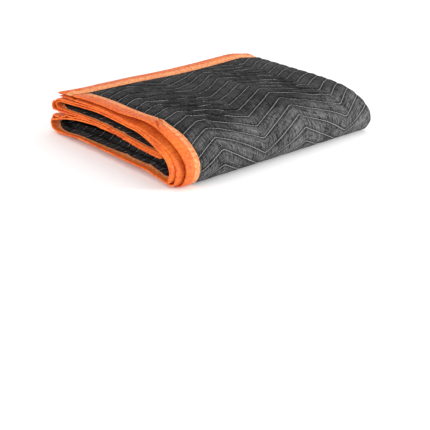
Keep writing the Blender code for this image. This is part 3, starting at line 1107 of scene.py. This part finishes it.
@dataclass
class Binding:
    """Tape folded over one edge of the pad, crowned, puckered and sewn down."""

    form: ClothForm
    edge: Edge
    node: str
    seed: int
    face_width: float = 0.034
    face_widths: tuple = ((0.0, 0.034),)
    wobbles: tuple = ((0.0, 0.0007),)
    crown: float = 0.0010
    back_width: float = 0.034
    tape: float = 0.0005
    seat: float = 0.0012
    overhang: float = 0.0013
    crown_power: float = 0.8
    crown_if_covered: float = 0.25
    lip: float = 0.00055
    lip_width: float = 0.0014
    seam_inset: float = 0.0046
    seam_depth: float = 0.00060
    seam_half_width: float = 0.0012
    sewn_if_covered: float = 0.35
    sewn_width: float = 0.020
    pucker: float = 0.00085
    pucker_cell: tuple = (0.0056, 0.024)
    slow_cell: float = 0.045
    step: float = 0.0023
    face_steps: int = 27
    turn_steps: int = 9
    back_steps: int = 12
    wobble_shares: tuple = (0.35, 0.40, 0.25)
    wobble_cells: tuple = (0.019, 0.0065)
    wobble_reach: float = 0.020
    seam_place: float = 0.0350
    seam_tuck: float = 0.00065
    tuck_length: float = 0.010
    end_overrun: float = 0.0014
    end_pinch: float = 0.0045
    pinched_height: float = 0.25
    slope_step: float = 0.2 * MM
    least_size: float = 1e-9

    def runs_across(self) -> bool:
        """True where the tape follows p, and False where it follows q."""
        return self.edge in (Edge.TOP, Edge.INNER)

    def along(self) -> tuple[float, float]:
        """Where the tape lies along its edge.

        Returns:
            Its start and its end.
        """
        stack = self.form.stack
        if self.runs_across():
            return -self.end_overrun, stack.pad_width + self.end_overrun
        return self.seam_place, stack.length - self.seam_place

    def from_end(self, along: Array) -> Array:
        """Distance from the tape's nearer end."""
        start, end = self.along()
        return np.minimum(along - start, end - along)

    def profile(self) -> tuple[Array, Array, Array]:
        """The tape's section.

        Returns:
            Distance round the tape, distance in from the edge, and the side, from 1 on the face
            to -1 on the back.
        """
        face = np.linspace(self.face_width, 0.0, self.face_steps)
        turn = np.linspace(0, math.pi, self.turn_steps)[1:-1]
        back = np.linspace(0.0, self.back_width, self.back_steps)
        inward = np.concatenate([face, -self.overhang * np.sin(turn), back])
        side = np.concatenate([np.ones(self.face_steps), np.cos(turn), -np.ones(self.back_steps)])
        steps = np.hypot(np.diff(inward), np.diff(side * self.seat))
        return np.append(0.0, np.cumsum(steps)), inward, side

    def width_at(self, along: Array) -> Array:
        """How far the tape reaches in over the face."""
        return np.interp(along, *np.array(self.face_widths).T)

    def wobble_at(self, along: Array) -> Array:
        """How far the folded edge wanders in and out.

        Args:
            along: Distance along the edge.

        Returns:
            The distance at each point.
        """
        broad = Unevenness(self.seed + 2, self.wobble_cells[0]).at(along)
        short = Unevenness(self.seed + 3, self.wobble_cells[1]).at(along)
        steady, broad_share, short_share = self.wobble_shares
        size = np.interp(along, *np.array(self.wobbles).T)
        return size * (steady + broad_share * broad + short_share * short)

    def puff(self, inward: Array, along: Array, side: Array) -> Array:
        """How far the tape stands off the plain seat: its crown, lip, seam and puckers.

        Args:
            inward: Distance in from the edge.
            along: Distance along the edge.
            side: From 1 on the face to -1 on the back.

        Returns:
            The height at each point.
        """
        width = np.where(side > 0, self.width_at(along), self.back_width)
        share = np.clip(inward / width, 0, 1)
        free = self.form.in_the_open(*self.flat(inward, along)) * np.clip(side, 0, 1)
        arc = np.sin(math.pi * share**self.crown_power)
        crown = self.crown * arc * (self.crown_if_covered + (1 - self.crown_if_covered) * free)
        from_border = width - inward
        seam = self.seam_depth * np.exp(-(((from_border - self.seam_inset) / self.seam_half_width) ** 2))
        lip = self.lip * np.exp(-(((from_border - self.lip_width) / self.lip_width) ** 2))
        sewn = (lip - seam) * (self.sewn_if_covered + (1 - self.sewn_if_covered) * free)
        noise = Unevenness(self.seed, *self.pucker_cell).at(along, inward)
        slow = Unevenness(self.seed + 1, self.slow_cell).share(along)
        pucker = self.pucker * noise * slow * (0.5 + 0.5 * free)
        raised = (crown + sewn) * smooth(width / self.sewn_width) + pucker * np.sin(math.pi * share) ** 0.5
        if self.runs_across():
            return raised
        tucked = fade(self.from_end(along), self.tuck_length)
        return raised * (1 - tucked) - self.seam_tuck * tucked

    def flat(self, inward: Array, along: Array) -> tuple[Array, Array]:
        """The flat pad's measures at a place on the tape.

        Args:
            inward: Distance in from this edge.
            along: Distance along it.

        Returns:
            p and q.
        """
        stack = self.form.stack
        return {
            Edge.OUTER_LEAF: (inward, along),
            Edge.INNER_LEAF: (stack.pad_width - inward, along),
            Edge.TOP: (along, inward),
            Edge.INNER: (along, stack.length - inward),
        }[self.edge]

    def section(self, around: Array, along: Array) -> tuple[Array, Array]:
        """The tape's own section where it lies.

        Args:
            around: Distance round the tape from its face's inner edge.
            along: Distance along the pad's edge.

        Returns:
            Distance in from the edge and height off the cloth.
        """
        round_it, inward, side = self.profile()
        here, side = np.interp(around, round_it, inward), np.interp(around, round_it, side)
        ratio = self.width_at(along) / self.face_width
        here = np.where((here > 0) & (side > 0), here * ratio, here)
        closed = smooth(self.from_end(along) / self.end_pinch) if self.runs_across() else 1.0
        kept = self.pinched_height + (1 - self.pinched_height) * closed
        return here, side * (self.seat + self.puff(here, along, side)) * kept

    def surface(self, around: Array, along: Array, off: Array) -> Array:
        """Points on the tape.

        Args:
            around: Distance round the tape from its face's inner edge.
            along: Distance along the pad's edge.
            off: Distance off the tape's middle, outwards.

        Returns:
            One row of x, y and z for each point.
        """
        before = self.section(around - self.slope_step, along)
        after = self.section(around + self.slope_step, along)
        run, rise = after[0] - before[0], after[1] - before[1]
        size = np.maximum(np.hypot(run, rise), self.least_size)
        here, height = self.section(around, along)
        here = here + off * rise / size
        here = here - self.wobble_at(along) * fade(here, self.wobble_reach)
        return self.form.lay(*self.flat(here, along), height - off * run / size)

    def lay(self, around: Array, along: Array, layer: Array) -> Array:
        """Where a side of the tape lies."""
        return self.surface(around, along, layer * self.tape / 2)

    def build(self, material: Material) -> Piece:
        """Lays the tape over its edge.

        Args:
            material: Its finish.

        Returns:
            The tape.
        """
        sheet = flat_grid(self.profile()[0], even_steps(*self.along(), step=self.step))
        lay_sheet(sheet, self.lay)
        tape = finish_piece(f"pad_{self.node}", sheet, material)
        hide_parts(self.node)
        return tape


@dataclass(frozen=True)
class Mottle:
    """One noise of a finish: how often it changes in each direction, its detail and distortion."""

    scale: tuple
    detail: float = 2.0
    distortion: float = 0.0


class Graph:
    """A material's nodes, with short ways to join them."""

    def __init__(self, name: str) -> None:
        """Starts a material with its Principled shader.

        Args:
            name: Name of the material.
        """
        self.material = bpy.data.materials.new(name)
        self.material.use_nodes = True
        self.tree = self.material.node_tree

    def feed(self, node: bpy.types.Node, inputs: dict) -> None:
        """Sets or links a node's inputs.

        Args:
            node: The node.
            inputs: A socket, a number or a colour for each input's name or number.
        """
        for key, value in inputs.items():
            if isinstance(value, Socket):
                self.tree.links.new(value, node.inputs[key])
            else:
                node.inputs[key].default_value = value

    def node(self, kind: str, inputs: dict, output: int | str = 0, **settings: object) -> Socket:
        """Adds a node.

        Args:
            kind: Its type, without the word that all shader nodes start with.
            inputs: What goes into it.
            output: Which of its outputs to give.
            **settings: Its properties.

        Returns:
            The output's socket.
        """
        made = self.tree.nodes.new(f"ShaderNode{kind}")
        for key, value in settings.items():
            setattr(made, key, value)
        self.feed(made, inputs)
        return made.outputs[output]

    def maths(self, operation: str, first: Socket, second: Socket | float) -> Socket:
        """A sum of two values."""
        return self.node("Math", {0: first, 1: second}, operation=operation)

    def weighted(self, *parts: tuple[Socket, float]) -> Socket:
        """The total of values.

        Args:
            *parts: Each value with its weight.

        Returns:
            The total's socket.
        """
        total, *others = (self.maths("MULTIPLY", value, weight) for value, weight in parts)
        for other in others:
            total = self.maths("ADD", total, other)
        return total

    def zigzag(self, value: Socket, half: float) -> Socket:
        """A value folded back and forth between 0 and a half wave."""
        return self.maths("PINGPONG", value, half)

    def spread(
        self, value: Socket, start: float, end: float, *ends: float, curve: str = "LINEAR"
    ) -> Socket:
        """A value carried from one range to another.

        Args:
            value: The value.
            start: What is carried to the low end.
            end: What is carried to the high end.
            *ends: The low and the high end, which are 0 and 1 if none is given.
            curve: How it eases between them.

        Returns:
            The result's socket.
        """
        low, high = ends or (0.0, 1.0)
        stops = {0: value, 1: start, 2: end, 3: low, 4: high}
        return self.node("MapRange", stops, interpolation_type=curve)

    def blend(self, share: Socket, *colours: Socket | tuple) -> Socket:
        """A mix of two colours by a share."""
        first, second = (colour if isinstance(colour, Socket) else (*colour, 1.0) for colour in colours)
        return self.node("Mix", {0: share, 6: first, 7: second}, output=2, data_type="RGBA")

    def scaled(self, vector: Socket, scale: Socket | float) -> Socket:
        """A vector or colour times a value."""
        return self.node("VectorMath", {0: vector, "Scale": scale}, operation="SCALE")

    def measures(self, uv_map: str) -> tuple[Socket, Socket, Socket]:
        """A UV map in metres.

        Args:
            uv_map: Its name.

        Returns:
            Its first measure, its second, and both as one vector.
        """
        metres = self.scaled(self.node("UVMap", {}, uv_map=uv_map), 1 / UV_PER_METRE)
        return (*(self.node("SeparateXYZ", {0: metres}, output=axis) for axis in (0, 1)), metres)

    def noise(self, vector: Socket, mottle: Mottle) -> Socket:
        """A noise over a vector.

        Args:
            vector: Where on the piece each point is.
            mottle: How the noise looks.

        Returns:
            The noise's socket.
        """
        place = self.node("Mapping", {0: vector, "Scale": mottle.scale})
        look = {"Scale": 1.0, "Detail": mottle.detail, "Distortion": mottle.distortion}
        return self.node("TexNoise", {"Vector": place, **look})

    def bump(self, height: Socket, distance: float, strength: float, *under: Socket) -> Socket:
        """A bump from a height, on top of another one if given."""
        below = {"Normal": normal for normal in under}
        return self.node("Bump", {"Strength": strength, "Distance": distance, "Height": height, **below})

    def finish(self, **inputs: Socket | tuple | float) -> Material:
        """Dresses the shader.

        Args:
            **inputs: What goes into it, by its inputs' names with _ for each space.

        Returns:
            The material.
        """
        shader = self.tree.nodes["Principled BSDF"]
        self.feed(shader, {key.replace("_", " "): value for key, value in inputs.items()})
        return self.material


@dataclass(frozen=True)
class NonwovenFinish:
    """Charcoal needled nonwoven with its lines of pale thread."""

    quilting: Quilting
    name: str = "charcoal_nonwoven_cloth"
    dark: tuple = (0.0030, 0.0030, 0.0032)
    light: tuple = (0.052, 0.0515, 0.052)
    # how far the painted shading darkens the valleys and lightens the crests and the nose
    painted_lighting: tuple = (0.16, 2.84)
    thread: tuple = (0.27, 0.265, 0.265)
    thread_half: float = 0.00045
    thread_blur: float = 1.6
    gap_share: float = 0.07
    valley_shade: float = 0.22
    valley_width: float = 0.0056
    fibres: Mottle = Mottle((520.0, 210.0, 1.0), 3.0, 0.5)
    clumps: Mottle = Mottle((300.0, 75.0, 1.0), 2.0, 0.6)
    drawn_in: Mottle = Mottle((230.0, 50.0, 1.0), 2.0, 0.4)
    patches: Mottle = Mottle((20.0, 15.0, 1.0))
    grain: Mottle = Mottle((26.0, 480.0, 1.0), 2.0, 0.3)
    pit_scale: float = 520.0

    def stitch_mask(self, graph: Graph, p: Socket, past: Socket) -> tuple[Socket, Socket]:
        """The drawn lines of stitching.

        Args:
            graph: Where the nodes go.
            p: Measure across the pad.
            past: Distance past the first line of stitching.

        Returns:
            1 on a thread, and the distance from the nearest line.
        """
        away = graph.zigzag(past, self.quilting.spacing / 2)
        near = graph.spread(away, self.thread_half, self.thread_half * self.thread_blur, 1.0, 0.0)
        dash = graph.zigzag(p, self.quilting.stitch / 2)
        gap = graph.maths("GREATER_THAN", dash, self.quilting.stitch * self.gap_share)
        return graph.maths("MULTIPLY", near, gap), away

    def make(self) -> Material:
        """The finish.

        Returns:
            Its material.
        """
        graph = Graph(self.name)
        flat = graph.measures("flat")[2]
        p, past, sewn = graph.measures("sewn")
        drawn, away = self.stitch_mask(graph, p, past)
        over_flat = (self.fibres, self.clumps, self.patches)
        fibres, clumps, patches = (graph.noise(flat, mottle) for mottle in over_flat)
        grain, drawn_in = graph.noise(sewn, self.grain), graph.noise(sewn, self.drawn_in)
        mixed = graph.weighted(
            (fibres, 0.30), (clumps, 0.18), (drawn_in, 0.18), (patches, 0.12), (grain, 0.22)
        )
        cloth = graph.blend(graph.spread(mixed, 0.40, 0.60, curve="SMOOTHSTEP"), self.dark, self.light)
        shade = graph.spread(away, 0.0, self.valley_width, self.valley_shade, 1.0)
        # painted shading from the attribute: painted shade in the valleys, painted light on the crests and
        # over the nose
        painted_shading = graph.node("Attribute", {}, output="Fac", attribute_name="painted_shading")
        shade = graph.maths("MULTIPLY", shade, graph.spread(painted_shading, 0.0, 1.0, *self.painted_lighting))
        shade = graph.maths("MULTIPLY", shade, graph.spread(patches, 0.36, 0.64, 0.90, 1.12))
        pits = graph.node("TexVoronoi", {"Vector": flat, "Scale": self.pit_scale}, feature="F1")
        relief = graph.bump(graph.maths("ADD", graph.maths("MULTIPLY", pits, 0.5), fibres), 0.0005, 0.7)
        relief = graph.bump(drawn_in, 0.0020, 0.7, relief)
        relief = graph.bump(grain, 0.0014, 0.6, relief)
        relief = graph.bump(clumps, 0.0012, 0.5, relief)
        return graph.finish(
            Base_Color=graph.blend(drawn, graph.scaled(cloth, shade), self.thread),
            Normal=graph.bump(drawn, 0.0004, 0.8, relief),
            Roughness=graph.spread(fibres, 0.3, 0.7, 0.80, 0.96),
            Specular_IOR_Level=0.06,
            Sheen_Weight=0.02,
            Sheen_Roughness=0.5,
        )


@dataclass(frozen=True)
class TapeFinish:
    """Orange woven binding tape with fine ribs across it, and a pale painted highlight beside its seam."""

    name: str = "orange_woven_tape"
    deep: tuple = (0.52, 0.052, 0.007)
    bright: tuple = (0.82, 0.197, 0.026)
    # the pale colour of a painted highlight in a band beside the seam, where that band starts and ends
    # round the tape, and its fade
    painted_light: tuple = (0.79, 0.425, 0.195)
    highlight_start: float = -0.0060
    highlight_end: float = 0.0170
    highlight_fade: float = 0.0060
    rib: float = 0.00125
    rib_lean: float = 0.35
    thread: float = 0.0009
    mottle: Mottle = Mottle((160.0, 220.0, 1.0), 4.0, 0.4)
    patches: Mottle = Mottle((26.0, 20.0, 1.0))
    highlight_specks: Mottle = Mottle((300.0, 190.0, 1.0), 3.0, 0.4)
    gloss: Mottle = Mottle((330.0, 410.0, 1.0))

    def make(self) -> Material:
        """The finish.

        Returns:
            Its material.
        """
        graph = Graph(self.name)
        around, along, flat = graph.measures("flat")
        lean = graph.maths("ADD", along, graph.maths("MULTIPLY", around, self.rib_lean))
        ribs, threads = (
            graph.maths("DIVIDE", graph.zigzag(value, width / 2), width / 2)
            for value, width in ((lean, self.rib), (around, self.thread))
        )
        noises = (self.mottle, self.patches, self.highlight_specks, self.gloss)
        mottle, patches, highlight_specks, gloss = (graph.noise(flat, one) for one in noises)
        tone = graph.weighted((ribs, 0.22), (mottle, 0.45), (patches, 0.33))
        colour = graph.blend(graph.spread(tone, 0.38, 0.62, curve="SMOOTHSTEP"), self.deep, self.bright)
        # painted highlight: a pale band round the inner border of the face, broken into specks
        opened = graph.spread(around, self.highlight_start, self.highlight_start + self.highlight_fade)
        closed = graph.spread(around, self.highlight_end, self.highlight_end - self.highlight_fade)
        highlight_specks = graph.spread(highlight_specks, 0.40, 0.66, curve="SMOOTHSTEP")
        highlight_specks = graph.maths("ADD", graph.maths("MULTIPLY", highlight_specks, 0.75), 0.20)
        painted_lighting = graph.maths("MULTIPLY", graph.maths("MULTIPLY", opened, closed), highlight_specks)
        woven = graph.maths("ADD", ribs, graph.maths("MULTIPLY", threads, 0.5))
        return graph.finish(
            Base_Color=graph.blend(painted_lighting, colour, self.painted_light),
            Normal=graph.bump(mottle, 0.0016, 0.6, graph.bump(woven, 0.00022, 0.6)),
            Roughness=graph.spread(gloss, 0.35, 0.65, 0.36, 0.66),
            Specular_IOR_Level=0.20,
            Sheen_Weight=0.02,
            Sheen_Roughness=0.4,
            Sheen_Tint=(1.0, 0.82, 0.72, 1.0),
        )


@dataclass(frozen=True)
class ThreadFinish:
    """Twisted sewing thread."""

    name: str
    colour: tuple
    shadow: float = 0.62
    twist: Mottle = Mottle((900.0, 900.0, 900.0))

    def make(self) -> Material:
        """The finish.

        Returns:
            Its material.
        """
        graph = Graph(self.name)
        twist = graph.noise(graph.node("TexCoord", {}, output="Object"), self.twist)
        darker = tuple(channel * self.shadow for channel in self.colour)
        return graph.finish(
            Base_Color=graph.blend(twist, darker, self.colour),
            Normal=graph.bump(twist, 0.0002, 0.5),
            Roughness=graph.spread(twist, 0.0, 1.0, 0.50, 0.74),
        )


@dataclass
class StitchRun:
    """Small raised stitches, each a short soft capsule, set in runs on the cloth or the tape."""

    name: str
    length: float
    half_width: float
    half_height: float
    around: int = 5
    rings: int = 4
    end_dip: float = 0.9

    def template(self) -> bpy.types.Mesh:
        """One stitch of unit size.

        Returns:
            Its mesh, which the caller removes.
        """
        stitch = bmesh.new()
        bmesh.ops.create_uvsphere(stitch, u_segments=self.around, v_segments=self.rings, radius=1.0)
        return new_mesh("stitch_template", stitch)

    def build(self, centres: Array, headings: Array, lay: Lay, material: Material) -> Piece:
        """Sets a stitch at each place.

        Args:
            centres: The two flat measures of each stitch.
            headings: The direction of each stitch in the flat.
            lay: Takes the two measures and the height over the surface to places.
            material: Its finish.

        Returns:
            The stitches as one piece.
        """
        template = self.template()
        run = bmesh.new()
        for _ in centres:
            run.from_mesh(template)
        shape = np.array([vert.co[:] for vert in template.vertices])
        bpy.data.meshes.remove(template)
        along = shape[:, 2] * self.length / 2
        across, up = shape[:, 0] * self.half_width, shape[:, 1] * self.half_height
        cos, sin = np.cos(headings)[:, None], np.sin(headings)[:, None]
        first = centres[:, 0, None] + along * cos - across * sin
        second = centres[:, 1, None] + along * sin + across * cos
        dip = self.half_height * self.end_dip * shape[:, 2] ** 4
        height = np.broadcast_to(up, first.shape) - dip
        for vert, place in zip(run.verts, lay(first.ravel(), second.ravel(), height.ravel())):
            vert.co = place
        return finish_piece(self.name, run, material)


@dataclass
class QuiltingThread:
    """The pale thread of the quilting where the face of the cloth shows."""

    form: ClothForm
    gap: float = 0.0007
    bury: float = 0.00050
    bury_cells: Unevenness = Unevenness(51, 0.016, 0.009)
    bury_on_slopes: float = 0.35
    usual_slope: float = 0.45
    margins: tuple = (0.002, 0.006)
    outer_inset: float = 0.003
    inner_inset: float = 0.010
    nose_overrun: float = 0.010
    back_run: tuple = (0.010, 0.030)
    hairpin_run: tuple = (0.012, 0.006)
    hollow_reach: float = 0.110
    hollow_run: tuple = (0.360, 1.270)

    def places(self) -> tuple[Array, Array]:
        """Where the stitches go.

        Returns:
            The middle of each stitch in the flat, and its heading.
        """
        form, lines, stack = self.form, self.form.quilting, self.form.stack
        step = lines.stitch / math.hypot(1, self.usual_slope)
        across = np.arange(form.bound_strip + self.margins[0], stack.pad_width - self.margins[1], step)
        p, number = np.meshgrid(across, np.arange(-2, int(stack.length / lines.spacing) + 3))
        p = p + 0.5 * step * (number % 2)
        q = lines.line_at(number, p)
        far_leaf = stack.pad_width - stack.leaf_run
        start, end = stack.spans["back"]
        back = (q > start - self.back_run[0]) & (q < end - self.back_run[1])
        shown = (p < far_leaf) & ((q < stack.spans["nose"][1] + self.nose_overrun) | back)
        turned = (p > stack.leaf_run - self.hairpin_run[0]) & (p < far_leaf + self.hairpin_run[1])
        hollow = (q > self.hollow_run[0]) & (q < self.hollow_run[1])
        hollow = hollow & (p > stack.pad_width - self.hollow_reach)
        inset = np.where(p < stack.pad_width / 2, form.bound_strip + self.outer_inset, self.inner_inset)
        keep = (shown | turned | hollow) & (form.from_edge(p, q) > inset)
        p, q, number = p[keep], q[keep], number[keep]
        slope = (lines.line_at(number, p + MM) - lines.line_at(number, p - MM)) / (2 * MM)
        return np.stack((p, q), axis=-1), np.arctan(slope)

    def lay(self, p: Array, q: Array, height: Array) -> Array:
        """Where the thread lies, drawn down into the cloth.

        Args:
            p: Measure across the pad.
            q: Measure along the folds.
            height: Height over the face.

        Returns:
            One row of x, y and z for each point.
        """
        slope_share = self.bury_on_slopes + (1 - self.bury_on_slopes) * self.form.quilting.forward(p, q)
        depth = self.bury * self.bury_cells.share(p, q) * slope_share
        return self.form.lay(p, q, self.form.half(p, q, np.ones(len(p), bool)) + height - depth)

    def build(self, material: Material) -> Piece:
        """Sews the quilting.

        Args:
            material: Its finish.

        Returns:
            All the stitches as one piece.
        """
        lines = self.form.quilting
        sizes = (lines.stitch - self.gap, lines.thread_width / 2, lines.thread_height / 2)
        return StitchRun("pad_quilting_thread", *sizes).build(*self.places(), self.lay, material)


@dataclass
class SeamThread:
    """The stitching that holds a tape down, in a row near the inner edge of its face."""

    binding: Binding
    stitch: float = 0.0042
    gap: float = 0.0009
    half_width: float = 0.00042
    half_height: float = 0.00028
    end_margin: float = 0.006
    sewn_width: float = 0.020

    def lay(self, around: Array, along: Array, height: Array) -> Array:
        """Where the thread lies on the tape."""
        return self.binding.surface(around, along, height + self.binding.tape / 2)

    def build(self, material: Material) -> Piece:
        """Sews the tape down where it is wide enough.

        Args:
            material: The thread's finish.

        Returns:
            The row of stitches.
        """
        start, end = self.binding.along()
        along = np.arange(start + self.end_margin, end - self.end_margin, self.stitch)
        along = along[self.binding.width_at(along) > self.sewn_width]
        inset = self.binding.seam_inset * self.binding.face_width / self.binding.width_at(along)
        centres, headings = np.stack((inset, along), axis=-1), np.full(len(along), math.pi / 2)
        sizes = (self.stitch - self.gap, self.half_width, self.half_height)
        run = StitchRun(f"pad_seam_{self.binding.edge.value}", *sizes)
        return run.build(centres, headings, self.lay, material)


@dataclass
class Studio:
    """The floor, the soft lights and the camera."""

    sensor: float = 36.0
    lens: float = 36.0 * 850 / 430
    eye: tuple = (-1.12115, -1.0076, 0.518)
    turn: float = 48.7
    pitch: float = 24.5
    roll: float = 5.2
    aim: tuple = (0.0, 0.0, 0.04)
    floor_half: float = 14.0
    pale: tuple = (0.94, 0.94, 0.94, 1.0)
    white: tuple = (1.0, 1.0, 1.0, 1.0)
    sky_strength: float = 1.0
    lights: tuple = (
        # name, place, side of its square and watts
        ("front_light", (1.35, -1.60, 0.50), 0.7, 46.0),
        ("end_light", (-2.0, 0.15, 0.6), 1.2, 22.0),
    )

    def build_floor(self) -> None:
        """Lays a plain pale floor."""
        floor = bmesh.new()
        bmesh.ops.create_grid(floor, x_segments=1, y_segments=1, size=self.floor_half)
        mesh = new_mesh("floor", floor)
        look = {"Base_Color": self.pale, "Roughness": 0.9, "Specular_IOR_Level": 0.1}
        mesh.materials.append(Graph("pale_floor").finish(**look))
        piece = link("floor", mesh)

    def build_lights(self) -> None:
        """Sets a pale sky, a broad front light and a softer one from the bound end."""
        world = bpy.data.worlds.new("pale_sky")
        world.use_nodes = True
        sky = world.node_tree.nodes["Background"]
        sky.inputs[0].default_value = self.white
        sky.inputs[1].default_value = self.sky_strength
        bpy.context.scene.world = world
        for name, place, size, power in self.lights:
            data = bpy.data.lights.new(name, "AREA")
            data.size, data.energy = size, power
            light = link(name, data)
            light.location = place
            light.rotation_mode = "QUATERNION"
            light.rotation_quaternion = (Vector(self.aim) - Vector(place)).to_track_quat("-Z", "Y")

    def build_camera(self) -> None:
        """Sets the camera at the photograph's view."""
        turn, pitch, roll = (math.radians(angle) for angle in (self.turn, self.pitch, self.roll))
        right = Vector((math.cos(turn), -math.sin(turn), 0.0))
        ahead = Vector((math.sin(turn), math.cos(turn), 0.0))
        level = Vector((0.0, 0.0, 1.0))
        forward = math.cos(pitch) * ahead - math.sin(pitch) * level
        up = math.sin(pitch) * ahead + math.cos(pitch) * level
        image_right = math.cos(roll) * right + math.sin(roll) * up
        image_up = math.cos(roll) * up - math.sin(roll) * right
        data = bpy.data.cameras.new("camera")
        data.sensor_width, data.lens = self.sensor, self.lens
        camera = link("camera", data)
        basis = Matrix((image_right, image_up, -forward)).transposed().to_4x4()
        camera.matrix_world = Matrix.Translation(self.eye) @ basis
        bpy.context.scene.camera = camera

    def build(self) -> None:
        """Sets up the studio."""
        self.build_floor()
        self.build_lights()
        self.build_camera()
        bpy.context.scene.view_settings.view_transform = "Standard"


# How wide the tape's face is, and how far its folded edge wanders, at places along the edge.
OUTER_LEAF_WIDTHS = (
    (0.030, 0.031), (0.180, 0.029), (0.235, 0.030), (0.270, 0.034), (0.310, 0.032), (0.360, 0.030),
)
INNER_LEAF_WIDTHS = (
    (0.360, 0.026), (0.395, 0.013), (0.430, 0.015), (0.500, 0.015), (0.560, 0.011), (0.640, 0.009),
    (0.690, 0.018), (0.720, 0.025), (0.930, 0.024), (0.975, 0.008), (1.000, 0.005), (1.230, 0.005),
    (1.256, 0.017), (1.300, 0.024), (1.580, 0.024), (1.620, 0.008),
)
INNER_EDGE_WIDTHS = ((0.600, 0.034), (0.660, 0.004))
OUTER_LEAF_WOBBLES = ((0.700, 0.0009), (0.850, 0.0024), (1.200, 0.0024), (1.300, 0.0010))
INNER_LEAF_WOBBLES = ((0.360, 0.0007), (0.420, 0.0018), (0.830, 0.0024), (1.230, 0.0022), (1.300, 0.0010))


def write_sizes() -> None:
    """Updates the view layer."""
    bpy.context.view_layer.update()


def main() -> None:
    """Builds the pad, its tapes and threads, and the studio."""
    logging.basicConfig(level=logging.INFO, format="%(name)s: %(message)s")
    stack, quilting = FoldedStack(), Quilting()
    form = ClothForm(stack, quilting)
    charcoal = NonwovenFinish(quilting).make()
    orange = TapeFinish().make()
    pale_thread = ThreadFinish("pale_quilting_thread", (0.80, 0.79, 0.79)).make()
    orange_thread = ThreadFinish("orange_seam_thread", (0.50, 0.060, 0.012)).make()
    cloth = QuiltedCloth(form).build(charcoal)
    outer, inner = (OUTER_LEAF_WIDTHS, OUTER_LEAF_WOBBLES), (INNER_LEAF_WIDTHS, INNER_LEAF_WOBBLES)
    bindings = [
        Binding(form, Edge.OUTER_LEAF, "binding_outer_leaf", 5, 0.034, *outer),
        Binding(form, Edge.INNER_LEAF, "binding_inner_leaf", 7, 0.026, *inner),
        Binding(form, Edge.TOP, "binding_top_edge", 9, crown=0.0027),
        Binding(form, Edge.INNER, "binding_inner_edge", 13, face_widths=INNER_EDGE_WIDTHS),
    ]
    tapes = [binding.build(orange) for binding in bindings]
    threads = [QuiltingThread(form).build(pale_thread)]
    threads += [SeamThread(binding).build(orange_thread) for binding in bindings]
    Studio().build()
    write_sizes()
    LOG.info("cloth along the folds: %.4f m", stack.length)


if __name__ == "__main__":
    main()
